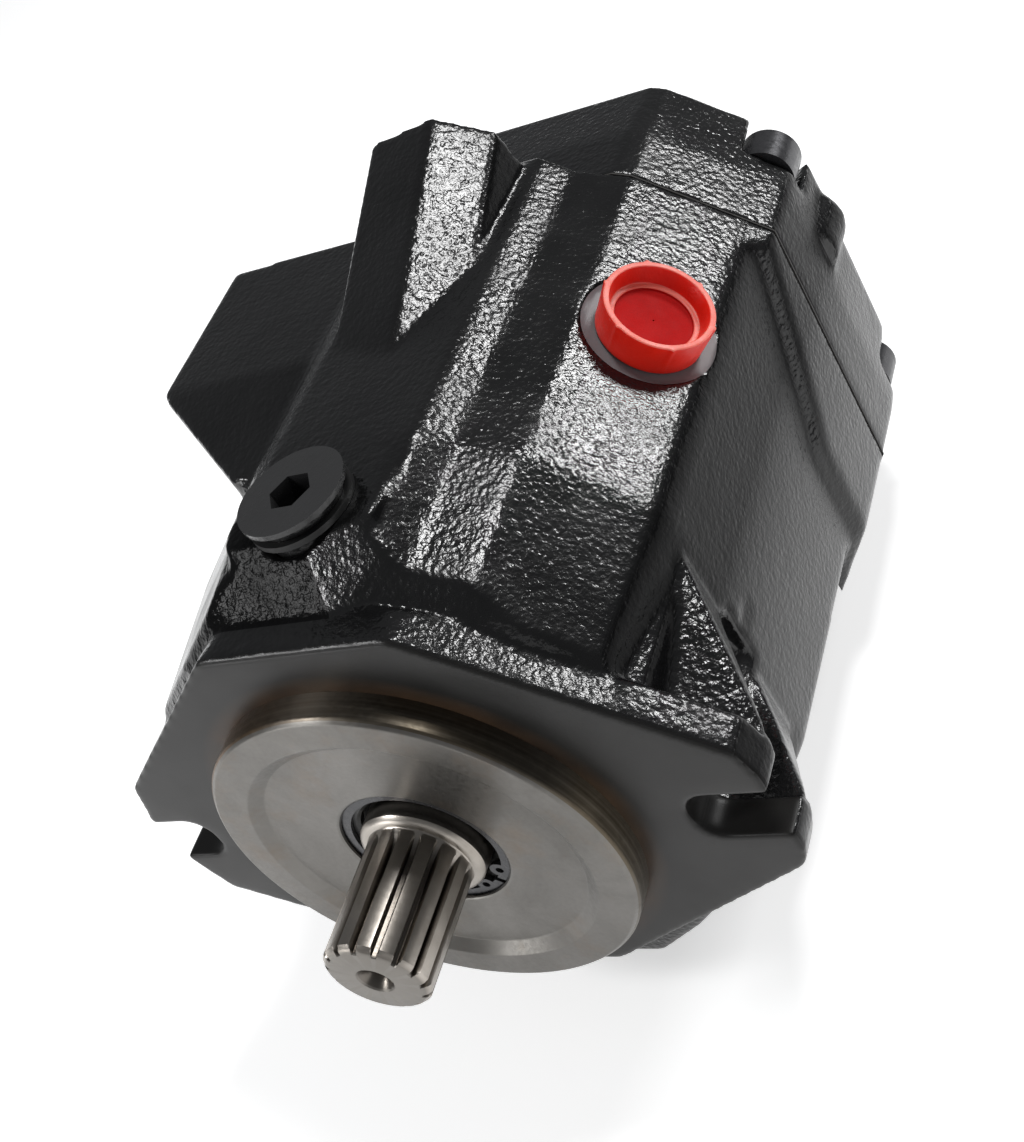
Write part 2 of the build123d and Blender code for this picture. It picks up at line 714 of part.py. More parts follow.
# ---------------------------------------------------------------- pistons and slippers
def build_slipper(index):
    """Slipper: flat sole on the swash plate, swaged socket round the piston's ball."""
    ball = ball_centre(index)
    with BuildPart() as slipper:
        sole_plane = Plane(origin=ball - NORMAL * SOLE_TOP, x_dir=(1, 0, 0), z_dir=-NORMAL)
        with BuildSketch(sole_plane):
            Circle(SOLE_R)
        extrude(amount=SOLE_FACE - SOLE_TOP)
        with BuildSketch(sole_plane):
            Circle(NECK_R)
        extrude(amount=-(SOLE_TOP + 2.4))
        hollow = Sphere(BALL_R + GAP, mode=Mode.PRIVATE).moved(Location(ball))
        add(hollow, mode=Mode.SUBTRACT)
        with BuildSketch(sole_plane.offset(SOLE_FACE - SOLE_TOP)):
            Circle(6.4)
            Circle(4.6, mode=Mode.SUBTRACT)
            Circle(0.8)
        extrude(amount=-0.7, mode=Mode.SUBTRACT)
    return slipper


def build_piston(index):
    """Piston: ball, waisted neck and long body with a hollow tail."""
    ball = ball_centre(index)
    with BuildPart() as piston:
        plane = Plane(origin=ball, x_dir=(1, 0, 0), z_dir=(0, 0, 1))
        with BuildSketch(plane):
            Polygon(
                (0, 3), (3, 3), (3.4, 7), (PISTON_R, 9.5), (PISTON_R, 51.5), (PISTON_R - 0.6, 52),
                (4.5, 52), (4.5, 22), (0, 20), align=None,
            )
        revolve(axis=Axis(ball, (0, 1, 0)))
        add(Sphere(BALL_R, mode=Mode.PRIVATE).moved(Location(ball)))
    return piston


for number in range(PISTONS):
    save(build_slipper(number), f"slipper_{number + 1}")
    save(build_piston(number), f"piston_{number + 1}")


# ---------------------------------------------------------------- valve plate
with BuildPart() as valve_plate:
    with BuildSketch(across(PLATE_Y0)):
        Circle(40)
        Circle(16, mode=Mode.SUBTRACT)
    extrude(amount=-(PLATE_Y1 - PLATE_Y0 - GAP))
    with BuildSketch(across(PLATE_Y0 - 1)):
        kidneys()
        with Locations((0, 36.5)):
            Circle(1.6)
    extrude(amount=-8, mode=Mode.SUBTRACT)
save(valve_plate, "valve_plate")

with BuildPart() as valve_plate_pin:
    with BuildSketch(across(PLATE_Y0 + 0.8)):
        with Locations((0, 36.5)):
            Circle(1.5)
    extrude(amount=-9)
save(valve_plate_pin, "valve_plate_pin")


# ---------------------------------------------------------------- control pistons
STROKE_Y = nose_y(CONTROL_Z, STROKE_R)
BIAS_Y = nose_y(-CONTROL_Z, BIAS_R)

with BuildPart() as stroking_piston:
    with BuildSketch(Plane.XY.offset(CONTROL_Z)):
        Polygon((0, STROKE_Y), (STROKE_R, STROKE_Y), (STROKE_R, 125), (4, 125), (4, 96), (0, 94), align=None)
    revolve(axis=Axis((0, 0, CONTROL_Z), (0, 1, 0)))
    add(Sphere(STROKE_R, mode=Mode.PRIVATE).moved(Location((0, STROKE_Y, CONTROL_Z))))
save(stroking_piston, "stroking_piston")

with BuildPart() as stroking_sleeve:
    with BuildSketch(Plane.XY.offset(CONTROL_Z)):
        Polygon(
            (STROKE_R + GAP, 100), (SLEEVE_R, 100), (SLEEVE_R, 143.8), (0, 143.8), (0, 139),
            (STROKE_R + GAP, 139), align=None,
        )
    revolve(axis=Axis((0, 0, CONTROL_Z), (0, 1, 0)))
save(stroking_sleeve, "stroking_sleeve")

with BuildPart() as bias_piston:
    with BuildSketch(Plane.XY.offset(-CONTROL_Z)):
        Polygon(
            (0, BIAS_Y), (BIAS_R, BIAS_Y), (BIAS_R, 60), (SLEEVE_R - 0.6, 60), (SLEEVE_R - 0.6, 64), (BIAS_R, 64),
            (BIAS_R, 131), (0, 131), align=None,
        )
    revolve(axis=Axis((0, 0, -CONTROL_Z), (0, 1, 0)))
    add(Sphere(BIAS_R, mode=Mode.PRIVATE).moved(Location((0, BIAS_Y, -CONTROL_Z))))
save(bias_piston, "bias_piston")

with BuildPart() as bias_sleeve:
    with BuildSketch(Plane.XY.offset(-CONTROL_Z)):
        Polygon(
            (BIAS_R + GAP, 118), (SLEEVE_R, 118), (SLEEVE_R, 143.8), (0, 143.8), (0, 140),
            (BIAS_R + GAP, 140), align=None,
        )
    revolve(axis=Axis((0, 0, -CONTROL_Z), (0, 1, 0)))
save(bias_sleeve, "bias_sleeve")

bias_spring = coil(7.2, 1.0, 65.3, 51.4, 8, -CONTROL_Z)
save(bias_spring, "bias_spring")


# ---------------------------------------------------------------- compensator valve
def upright(points):
    """Closed (radius, z) outline turned about the spool's upright axis."""
    with BuildPart() as turned:
        with BuildSketch(Plane(origin=(VALVE_X, VALVE_Y, 0), x_dir=(1, 0, 0), z_dir=(0, -1, 0))):
            Polygon(*points, align=None)
        revolve(axis=Axis((VALVE_X, VALVE_Y, 0), (0, 0, 1)))
    return turned


def hexagon(flats, low, height, base):
    """Add a hexagon on the spool axis to the part being built."""
    with BuildPart() as nut:
        with BuildSketch(Plane(origin=(VALVE_X, VALVE_Y, low))):
            RegularPolygon(flats / 2, 6, major_radius=False)
        extrude(amount=height)
        if base:
            add(base.part)
    return nut


with BuildPart() as compensator_body:
    with BuildSketch(valve_plane(SHOULDER_X - GAP)):
        RectangleRounded(VALVE_W, VALVE_H, 4)
    extrude(amount=SHOULDER_X - GAP - VALVE_FACE_X)
    chamfer(compensator_body.edges().group_by(Axis.X)[0], 1)
    with BuildSketch(valve_plane(SHOULDER_X + 1)):
        with GridLocations(SCREW_Y, SCREW_Z, 2, 2):
            Circle(2.75)
    extrude(amount=30, mode=Mode.SUBTRACT)
    with BuildSketch(valve_plane(VALVE_FACE_X + 5)):
        with GridLocations(SCREW_Y, SCREW_Z, 2, 2):
            Circle(4.7)
    extrude(amount=10, mode=Mode.SUBTRACT)
    add(
        upright([(0, -41), (6.5, -41), (6.5, -12), (SPOOL_R + GAP, -12), (SPOOL_R + GAP, 7), (5.5, 7), (5.5, 15), (0, 15)]).part,
        mode=Mode.SUBTRACT,
    )
save(compensator_body, "compensator_body")

with BuildPart() as compensator_screws:
    with BuildSketch(valve_plane(VALVE_FACE_X + 5 - 0.02)):
        with GridLocations(SCREW_Y, SCREW_Z, 2, 2):
            Circle(4.25)
    extrude(amount=4.9)
    with BuildSketch(valve_plane(VALVE_FACE_X + 4)):
        with GridLocations(SCREW_Y, SCREW_Z, 2, 2):
            Circle(2.5)
    extrude(amount=-23)
    with BuildSketch(valve_plane(VALVE_FACE_X - 1)):
        with GridLocations(SCREW_Y, SCREW_Z, 2, 2):
            RegularPolygon(2, 6, major_radius=False)
    extrude(amount=-3.5, mode=Mode.SUBTRACT)
save(compensator_screws, "compensator_screws")

spool = upright(
    [(0, 4), (2.5, 4), (2.5, 2.5), (SPOOL_R, 2.5), (SPOOL_R, -1), (2.6, -1), (2.6, -6), (SPOOL_R, -6),
     (SPOOL_R, -13), (6.1, -13), (6.1, -16.5), (3.2, -16.5), (3.2, -19), (0, -19)]
)
save(spool, "spool")

valve_plug = hexagon(14, 14.1, 3.5, upright([(0, 5), (4, 5), (4, 7.1), (5.4, 7.1), (5.4, 15), (0, 15)]))
save(valve_plug, "valve_plug")

with BuildPart() as adjuster_plug:
    add(hexagon(16, -47, 6.9, upright([(0, -42), (6.4, -42), (6.4, -36.5), (0, -36.5)])).part)
    add(upright([(0, -50), (3.05, -50), (3.05, -30), (0, -30)]).part, mode=Mode.SUBTRACT)
save(adjuster_plug, "adjuster_plug")

with BuildPart() as adjusting_screw:
    add(
        upright(
            [(0, -59), (2.4, -59), (3, -58.4), (3, -34.5), (5.6, -34.5), (5.6, -32.5), (3.2, -32.5), (3.2, -30), (0, -30)]
        ).part
    )
    with BuildSketch(Plane(origin=(VALVE_X, VALVE_Y, -60))):
        RegularPolygon(1.5, 6, major_radius=False)
    extrude(amount=4.5, mode=Mode.SUBTRACT)
save(adjusting_screw, "adjusting_screw")

with BuildPart() as lock_nut:
    add(hexagon(10, -52, 4.9, None).part)
    add(upright([(0, -53), (3.05, -53), (3.05, -46), (0, -46)]).part, mode=Mode.SUBTRACT)
save(lock_nut, "lock_nut")

with BuildPart() as spool_spring:
    with BuildLine() as path:
        Helix(pitch=2.88, height=14.4, radius=4.6, center=(VALVE_X, VALVE_Y, -31.7))
    with BuildSketch(Plane(origin=path.line @ 0, z_dir=path.line % 0)):
        Circle(0.7)
    sweep(path=path.line, is_frenet=True)
save(spool_spring, "spool_spring")


# ---------------------------------------------------------------- case plug and shipping cap
with BuildPart() as case_plug_seal:
    with BuildSketch(Plane.XY.offset(TOP_Z + 0.02)):
        with Locations((0, PLUG_Y)):
            Circle(12.8)
            Circle(PLUG_R + 0.1, mode=Mode.SUBTRACT)
    extrude(amount=1.46)
save(case_plug_seal, "case_plug_seal")

with BuildPart() as case_plug:
    with BuildSketch(Plane.XY.offset(TOP_Z + 5.5)):
        with Locations((0, PLUG_Y)):
            Circle(13.2)
    extrude(amount=-1.3)
    with BuildSketch(Plane.XY.offset(TOP_Z + 5)):
        with Locations((0, PLUG_Y)):
            Circle(PLUG_R)
    extrude(amount=-19)
    with BuildSketch(Plane.XY.offset(TOP_Z + 6)):
        with Locations((0, PLUG_Y)):
            RegularPolygon(4.8, 6, major_radius=False)
    extrude(amount=-8, mode=Mode.SUBTRACT)
save(case_plug, "case_plug")

with BuildPart() as shipping_cap:
    with BuildSketch(port_plane(-SPOT_DEPTH + GAP)) as base:
        Circle(CAP_R)
    extrude(amount=CAP_H)
    with BuildSketch(port_plane(-SPOT_DEPTH + GAP + CAP_H)):
        Circle(CAP_R - 1.3)
    extrude(amount=-5.5, taper=22, mode=Mode.SUBTRACT)
    with BuildSketch(port_plane(-0.5)):
        Circle(DRAIN_R - 0.1)
    extrude(amount=-11)
    with BuildSketch(port_plane(-1.5)):
        Circle(DRAIN_R - 1.8)
    extrude(amount=-12, mode=Mode.SUBTRACT)
save(shipping_cap, "shipping_cap")
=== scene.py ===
from math import cos, pi, radians, sin

import bmesh
import bpy
import numpy as np
from mathutils import Matrix, Vector


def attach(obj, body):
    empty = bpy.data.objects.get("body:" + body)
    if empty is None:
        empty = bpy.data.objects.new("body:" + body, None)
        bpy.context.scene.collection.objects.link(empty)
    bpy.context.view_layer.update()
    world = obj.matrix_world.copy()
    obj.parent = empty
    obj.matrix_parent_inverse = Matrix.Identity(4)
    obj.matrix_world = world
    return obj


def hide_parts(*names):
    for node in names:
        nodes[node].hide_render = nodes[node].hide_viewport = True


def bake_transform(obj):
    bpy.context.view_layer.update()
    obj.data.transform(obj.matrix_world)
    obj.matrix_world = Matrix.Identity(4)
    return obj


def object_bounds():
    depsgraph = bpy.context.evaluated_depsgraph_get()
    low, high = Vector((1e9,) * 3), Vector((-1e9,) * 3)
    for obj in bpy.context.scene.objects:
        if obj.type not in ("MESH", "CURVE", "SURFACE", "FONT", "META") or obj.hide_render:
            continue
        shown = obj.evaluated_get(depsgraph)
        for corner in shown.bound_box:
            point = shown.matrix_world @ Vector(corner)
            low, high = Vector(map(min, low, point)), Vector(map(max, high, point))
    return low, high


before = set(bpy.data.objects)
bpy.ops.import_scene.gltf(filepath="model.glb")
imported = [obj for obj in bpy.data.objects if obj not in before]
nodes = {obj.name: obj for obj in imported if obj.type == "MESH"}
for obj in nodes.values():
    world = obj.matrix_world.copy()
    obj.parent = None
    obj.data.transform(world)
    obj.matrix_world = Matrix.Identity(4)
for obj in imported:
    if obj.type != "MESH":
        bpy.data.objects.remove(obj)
cad_low, cad_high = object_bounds()
scene = bpy.context.scene


# ------------------------------------------------------------------ shader helpers
class Shader:
    """A Principled material built node by node, in object coordinates (metres)."""

    def __init__(self, name, **sockets):
        self.mat = bpy.data.materials.new(name)
        self.mat.use_nodes = True
        self.tree = self.mat.node_tree
        self.bsdf = next(n for n in self.tree.nodes if n.type == "BSDF_PRINCIPLED")
        self.coord = self.node("ShaderNodeTexCoord").outputs["Object"]
        for key, value in sockets.items():
            self.bsdf.inputs[key.replace("_", " ")].default_value = value

    def node(self, kind, **settings):
        made = self.tree.nodes.new(kind)
        for key, value in settings.items():
            setattr(made, key, value)
        return made

    def link(self, source, target):
        self.tree.links.new(source, target)

    def noise(self, scale, detail=3.0, roughness=0.5, distortion=0.0):
        made = self.node("ShaderNodeTexNoise")
        made.inputs["Scale"].default_value = scale
        made.inputs["Detail"].default_value = detail
        made.inputs["Roughness"].default_value = roughness
        made.inputs["Distortion"].default_value = distortion
        self.link(self.coord, made.inputs["Vector"])
        return made.outputs["Fac"]

    def grains(self, scale, smoothness=0.5, warp=0.0005):
        """Rounded grains: smooth Voronoi cells on a slightly warped coordinate."""
        wander = self.node("ShaderNodeTexNoise")
        wander.inputs["Scale"].default_value = scale * 0.6
        self.link(self.coord, wander.inputs["Vector"])
        shift = self.node("ShaderNodeVectorMath", operation="SCALE")
        self.link(wander.outputs["Color"], shift.inputs[0])
        shift.inputs["Scale"].default_value = warp
        moved = self.node("ShaderNodeVectorMath", operation="ADD")
        self.link(self.coord, moved.inputs[0])
        self.link(shift.outputs[0], moved.inputs[1])
        cells = self.node("ShaderNodeTexVoronoi", feature="SMOOTH_F1")
        cells.inputs["Scale"].default_value = scale
        cells.inputs["Smoothness"].default_value = smoothness
        self.link(moved.outputs[0], cells.inputs["Vector"])
        return self.math("SUBTRACT", 1.0, cells.outputs["Distance"])

    def inside(self, value, low, high):
        """1 where low < value < high."""
        above = self.math("GREATER_THAN", value, low)
        return self.math("MULTIPLY", above, self.math("LESS_THAN", value, high))

    def math(self, operation, a, b=None, clamp=False):
        made = self.node("ShaderNodeMath", operation=operation, use_clamp=clamp)
        for slot, value in enumerate((a, b)):
            if value is None:
                continue
            if isinstance(value, (int, float)):
                made.inputs[slot].default_value = value
            else:
                self.link(value, made.inputs[slot])
        return made.outputs[0]

    def span(self, value, low, high, to_low=0.0, to_high=1.0):
        made = self.node("ShaderNodeMapRange", clamp=True)
        self.link(value, made.inputs["Value"])
        for key, number in zip(("From Min", "From Max", "To Min", "To Max"), (low, high, to_low, to_high)):
            made.inputs[key].default_value = number
        return made.outputs["Result"]

    def mix(self, factor, a, b):
        made = self.node("ShaderNodeMix", data_type="RGBA")
        self.link(factor, made.inputs["Factor"])
        for key, value in ((6, a), (7, b)):
            if isinstance(value, tuple):
                made.inputs[key].default_value = (*value, 1.0)
            else:
                self.link(value, made.inputs[key])
        return made.outputs[2]

    def xyz(self):
        made = self.node("ShaderNodeSeparateXYZ")
        self.link(self.coord, made.inputs[0])
        return made.outputs

    def radius(self):
        x, _, z = self.xyz()
        return self.math("SQRT", self.math("ADD", self.math("MULTIPLY", x, x), self.math("MULTIPLY", z, z)))

    def rings(self, value, scale, detail=2.0):
        """Noise that changes only with one number, for lathe marks."""
        pack = self.node("ShaderNodeCombineXYZ")
        self.link(value, pack.inputs[0])
        made = self.node("ShaderNodeTexNoise")
        made.inputs["Scale"].default_value = scale
        made.inputs["Detail"].default_value = detail
        self.link(pack.outputs[0], made.inputs["Vector"])
        return made.outputs["Fac"]

    def off_axis(self, point, axis):
        """Distance from a line through point along axis, both in metres."""
        rel = self.node("ShaderNodeVectorMath", operation="SUBTRACT")
        self.link(self.coord, rel.inputs[0])
        rel.inputs[1].default_value = point
        cross = self.node("ShaderNodeVectorMath", operation="CROSS_PRODUCT")
        self.link(rel.outputs[0], cross.inputs[0])
        cross.inputs[1].default_value = axis
        length = self.node("ShaderNodeVectorMath", operation="LENGTH")
        self.link(cross.outputs[0], length.inputs[0])
        return length.outputs["Value"]

    def sideways(self):
        """1 where the surface faces left, right or rearwards."""
        split = self.node("ShaderNodeSeparateXYZ")
        self.link(self.node("ShaderNodeNewGeometry").outputs["True Normal"], split.inputs[0])
        across = self.span(self.math("ABSOLUTE", split.outputs[0]), 0.76, 0.9)
        return self.math("MAXIMUM", across, self.span(split.outputs[1], 0.15, 0.4))

    def edges(self, low=0.52, high=0.6):
        return self.span(self.node("ShaderNodeNewGeometry").outputs["Pointiness"], low, high)

    def bump(self, height, distance, strength=1.0):
        made = self.node("ShaderNodeBump")
        made.inputs["Distance"].default_value = distance
        made.inputs["Strength"].default_value = strength
        self.link(height, made.inputs["Height"])
        self.link(made.outputs["Normal"], self.bsdf.inputs["Normal"])

    def set(self, key, value):
        self.link(value, self.bsdf.inputs[key])


# ------------------------------------------------------------------ places that several pieces share (metres)
PORT_SEAT = (0.0546, 0.0995, 0.0517)            # centre of the case drain's spot face
PORT_AXIS = (cos(radians(47.5)), 0.0, sin(radians(47.5)))
SPOT_FACE_R = 0.0163
PILOT_R = 0.0508
SHAFT_OPENING_R = 0.0204
SHAFT_TIP_Y = -0.0386
SLOT_HALF_WIDTH = 0.0074
SLOT_ROOT_X = 0.0655
FLANGE_BACK = 0.0112
FLANGE_EDGE = (0.599, 0.801)                    # normal of the flange's sloping upper edges, (|x|, z)


# ------------------------------------------------------------------ materials


def cast_paint(name, faced_y):
    """Gloss black paint over a sand casting; faces machined before painting are smoother."""
    s = Shader(name, IOR=1.5)
    x, y, z = s.xyz()
    radius = s.radius()
    rough_zone = s.span(y, faced_y, faced_y + 0.0012)
    slot = s.inside(z, -SLOT_HALF_WIDTH, SLOT_HALF_WIDTH)
    slot = s.math("MULTIPLY", slot, s.math("GREATER_THAN", s.math("ABSOLUTE", x), SLOT_ROOT_X))
    slot = s.math("MULTIPLY", slot, s.math("LESS_THAN", y, FLANGE_BACK))
    rough_zone = s.math("MULTIPLY", rough_zone, s.math("SUBTRACT", 1.0, slot))
    spot = s.math("MULTIPLY", s.math("LESS_THAN", s.off_axis(PORT_SEAT, PORT_AXIS), SPOT_FACE_R),
                  s.math("GREATER_THAN", z, 0.03))
    rough_zone = s.math("MULTIPLY", rough_zone, s.math("SUBTRACT", 1.0, spot))
    patch = s.noise(22, 3.0, 0.55)
    depth = s.span(patch, 0.35, 0.65, 0.55, 1.0)
    height = s.math("MULTIPLY", s.grains(800, 0.9), s.math("MULTIPLY", depth, 0.17))
    height = s.math("ADD", height, s.math("MULTIPLY", s.noise(560, 2.0, 0.55), 0.18))
    height = s.math("ADD", height, s.math("MULTIPLY", s.noise(1700, 1.0), 0.05))
    height = s.math("ADD", height, s.math("MULTIPLY", s.noise(200, 2.0), 0.13))
    height = s.math("MULTIPLY", height, s.math("SUBTRACT", 1.0, s.math("MULTIPLY", s.sideways(), 0.3)))
    height = s.math("MULTIPLY", height, rough_zone)
    height = s.math("ADD", height, s.math("MULTIPLY", s.noise(2600, 1.0), 0.02))
    s.bump(height, 0.001, 1.0)
    base = s.mix(s.span(patch, 0.35, 0.7), (0.0035, 0.0035, 0.0037), (0.008, 0.008, 0.0083))
    base = s.mix(s.math("SUBTRACT", 1.0, rough_zone), base, (0.012, 0.0115, 0.011))
    stain = s.math("MULTIPLY", s.span(radius, 0.0505, 0.056, 1.0, 0.0), s.math("LESS_THAN", y, 0.0005))
    stain = s.math("MULTIPLY", stain, s.span(s.noise(60, 4.0), 0.35, 0.65, 0.3, 0.9))
    base = s.mix(stain, base, (0.085, 0.05, 0.028))
    base = s.mix(spot, base, (0.16, 0.16, 0.165))
    s.set("Base Color", base)
    rough = s.math("ADD", s.span(s.noise(60, 3.0), 0.3, 0.7, 0.15, 0.25),
                   s.math("MULTIPLY", s.math("SUBTRACT", 1.0, rough_zone), 0.16))
    s.set("Roughness", rough)
    upper_wall = s.math("MULTIPLY", s.sideways(), s.span(z, -0.04, 0.012))
    beside = s.math("ADD", s.math("MULTIPLY", x, 0.909), s.math("MULTIPLY", y, 0.417))
    dull = s.math("MULTIPLY", s.inside(y, 0.0085, 0.03), s.math("GREATER_THAN", z, 0.05))
    dull = s.math("MULTIPLY", dull, s.math("LESS_THAN", beside, 0.012))
    gloss = s.math("SUBTRACT", 0.5, s.math("MULTIPLY", s.math("MAXIMUM", upper_wall, dull), 0.45))
    s.set("Specular IOR Level", s.math("MULTIPLY", gloss, s.span(rough_zone, 0.0, 1.0, 0.5, 1.0)))
    return s.mat


def pilot_iron():
    """Turned iron: lathe rings on the face, browned and dull round the side, with painted shade in the shaft
    bore.
    """
    s = Shader("turned_pilot", Metallic=1.0, Anisotropic=0.7, Anisotropic_Rotation=0.25)
    s.set("Tangent", s.node("ShaderNodeTangent", direction_type="RADIAL", axis="Y").outputs[0])
    y, radius = s.xyz()[1], s.radius()
    marks = s.rings(radius, 5200, 3.0)
    cloud = s.noise(38, 5.0, 0.65, distortion=0.6)
    base = s.mix(s.span(cloud, 0.35, 0.68), (0.18, 0.173, 0.163), (0.125, 0.12, 0.111))
    rust = s.math("MULTIPLY", s.span(s.noise(55, 6.0, 0.7), 0.52, 0.72), 0.35)
    base = s.mix(rust, base, (0.17, 0.11, 0.06))
    base = s.mix(s.math("MULTIPLY", s.span(marks, 0.3, 0.7), 0.25), base, (0.17, 0.16, 0.145))
    side = s.math("GREATER_THAN", radius, PILOT_R - 0.0005)
    side = s.math("MULTIPLY", side, s.math("GREATER_THAN", y, -0.0073))
    bands = s.span(s.rings(y, 620, 3.0), 0.35, 0.65)
    browned = s.mix(bands, (0.05, 0.038, 0.024), (0.15, 0.13, 0.1))
    rusty = s.span(s.xyz()[0], -0.03, 0.012, 1.0, 0.0)
    browned = s.mix(s.math("MULTIPLY", rusty, 0.6), browned, (0.15, 0.085, 0.04))
    base = s.mix(s.math("MULTIPLY", side, s.span(s.noise(30, 3.0), 0.3, 0.6, 0.55, 1.0)), base, browned)
    # Painted shade: the shaft bore inside the opening is painted near black.
    base = s.mix(s.math("LESS_THAN", radius, SHAFT_OPENING_R), base, (0.02, 0.018, 0.016))
    s.set("Base Color", base)
    s.set("Roughness", s.math("ADD", s.span(s.noise(900, 3.0), 0.3, 0.7, 0.27, 0.38),
                              s.math("MULTIPLY", cloud, 0.1)))
    s.bump(s.math("ADD", s.math("MULTIPLY", marks, 0.6), s.math("MULTIPLY", s.rings(radius, 420, 2.0), 0.4)),
           0.00006, 0.8)
    return s.mat


def spline_steel():
    """Ground steel with painted shade in the tooth spaces and a duller tip."""
    s = Shader("shaft_steel", Metallic=1.0)
    y, radius = s.xyz()[1], s.radius()
    cloud = s.noise(90, 4.0, 0.6)
    base = s.mix(s.span(cloud, 0.35, 0.7), (0.40, 0.37, 0.335), (0.29, 0.265, 0.235))
    # Painted shade: the tooth spaces below the lands are painted dark.
    low = s.math("MULTIPLY", s.span(radius, 0.0112, 0.0121, 1.0, 0.0), s.math("GREATER_THAN", y, SHAFT_TIP_Y))
    base = s.mix(s.math("MULTIPLY", low, 0.8), base, (0.09, 0.08, 0.07))
    tip = s.math("LESS_THAN", y, SHAFT_TIP_Y)
    base = s.mix(s.math("MULTIPLY", tip, 0.75), base, (0.15, 0.142, 0.13))
    s.set("Base Color", base)
    marks = s.rings(y, 2400, 2.0)
    s.set("Roughness", s.math("ADD", s.span(marks, 0.3, 0.7, 0.27, 0.36), s.math("MULTIPLY", tip, 0.12)))
    s.bump(s.math("ADD", marks, s.noise(500, 2.0)), 0.00004, 0.7)
    return s.mat


def plain_metal(name, color, rough, metallic=1.0, bump=0.00005, scale=700):
    """Ground or coated steel, with worn edges."""
    s = Shader(name, Metallic=metallic)
    cloud = s.noise(90, 4.0, 0.6)
    grit = s.noise(scale, 3.0)
    base = s.mix(s.span(cloud, 0.35, 0.7), color, tuple(c * 0.7 for c in color))
    base = s.mix(s.math("MULTIPLY", s.edges(), 0.4), base, tuple(min(1.0, c * 1.7 + 0.03) for c in color))
    s.set("Base Color", base)
    s.set("Roughness", s.span(grit, 0.3, 0.7, rough - 0.06, rough + 0.08))
    s.bump(grit, bump, 0.7)
    return s.mat


def polymer(name, color, rough, bump, scale=1200):
    """Rubber, fibre sheet and other matt compounds."""
    s = Shader(name)
    cloud = s.noise(120, 4.0)
    s.set("Base Color", s.mix(s.span(cloud, 0.3, 0.7), color, tuple(c * 0.75 for c in color)))
    s.set("Roughness", s.span(s.noise(scale, 2.0), 0.3, 0.7, rough - 0.06, rough + 0.06))
    s.bump(s.noise(scale, 2.0), bump, 0.6)
    return s.mat


def cap_plastic(name, color, deeper, scatter=0.3, rough=0.36, specular=0.5):
    """Soft translucent polyethylene, a little scuffed."""
    s = Shader(name)
    s.bsdf.inputs["Subsurface Weight"].default_value = scatter
    s.bsdf.inputs["Subsurface Radius"].default_value = (0.003, 0.0005, 0.0003)
    s.bsdf.inputs["Subsurface Scale"].default_value = 1.0
    s.bsdf.inputs["Specular IOR Level"].default_value = specular
    s.set("Base Color", s.mix(s.span(s.noise(90, 3.0), 0.3, 0.7), color, deeper))
    s.set("Roughness", s.span(s.noise(260, 3.0), 0.3, 0.7, rough - 0.05, rough + 0.07))
    s.bump(s.math("ADD", s.noise(420, 2.0), s.noise(1600, 2.0)), 0.0001, 0.6)
    return s.mat


PAINT = cast_paint("cast_black_paint", 0.0004)
PAINT_REAR = cast_paint("cast_black_paint_cover", -1.0)
MACHINED = pilot_iron()
SHAFT = spline_steel()
STEEL = plain_metal("ground_steel", (0.56, 0.55, 0.53), 0.22)
SPRING = plain_metal("spring_steel", (0.2, 0.2, 0.21), 0.35)
BRONZE = plain_metal("bronze", (0.55, 0.36, 0.17), 0.3)
BLACK_STEEL = plain_metal("black_oxide_steel", (0.035, 0.035, 0.038), 0.3, 0.6, 0.00008)
PLUG_PAINT = plain_metal("painted_plug", (0.012, 0.012, 0.0125), 0.22, 0.0, 0.0001, 900)
RUBBER = polymer("seal_rubber", (0.014, 0.014, 0.014), 0.45, 0.00004)
FIBRE = polymer("gasket_fibre", (0.03, 0.028, 0.026), 0.8, 0.0001)
RED = cap_plastic("red_cap_plastic", (0.80, 0.018, 0.006), (0.68, 0.014, 0.005))
# Pale rim top, and a painted highlight on the cap's inner ledge.
RED_PALE = cap_plastic("red_cap_pale_rim_painted_ledge_highlight", (0.86, 0.22, 0.17), (0.80, 0.14, 0.1), 0.3, 0.42)
# Darker red for the cup floor: painted shade, plus a duller finish.
RED_SHADED_FLOOR = cap_plastic("red_cap_floor_painted_shade", (0.46, 0.004, 0.004), (0.38, 0.003, 0.003), 0.1, 0.7, 0.15)


# ------------------------------------------------------------------ mesh helpers
def new_object(name, verts, faces, material, body):
    mesh = bpy.data.meshes.new(name)
    mesh.from_pydata([tuple(v) for v in verts], [], faces)
    mesh.validate()
    mesh.update()
    made = bpy.data.objects.new(name, mesh)
    scene.collection.objects.link(made)
    mesh.materials.append(material)
    mesh.shade_smooth()
    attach(made, body)
    return made


def softened(points, radius, steps=3):
    """Closed or open profile with its corners rounded; points are (radius, height) in mm."""
    out = []
    count = len(points)
    for i, (a, b) in enumerate(points):
        if i in (0, count - 1):
            out.append((a, b))
            continue
        here = Vector((a, b))
        before, after = Vector(points[i - 1]) - here, Vector(points[i + 1]) - here
        cut = min(radius, before.length * 0.45, after.length * 0.45)
        if cut < 1e-4:
            out.append((a, b))
            continue
        start, end = here + before.normalized() * cut, here + after.normalized() * cut
        for k in range(steps + 1):
            t = k / steps
            p = start * (1 - t) ** 2 + here * (2 * t * (1 - t)) + end * t ** 2
            out.append((p.x, p.y))
    return out


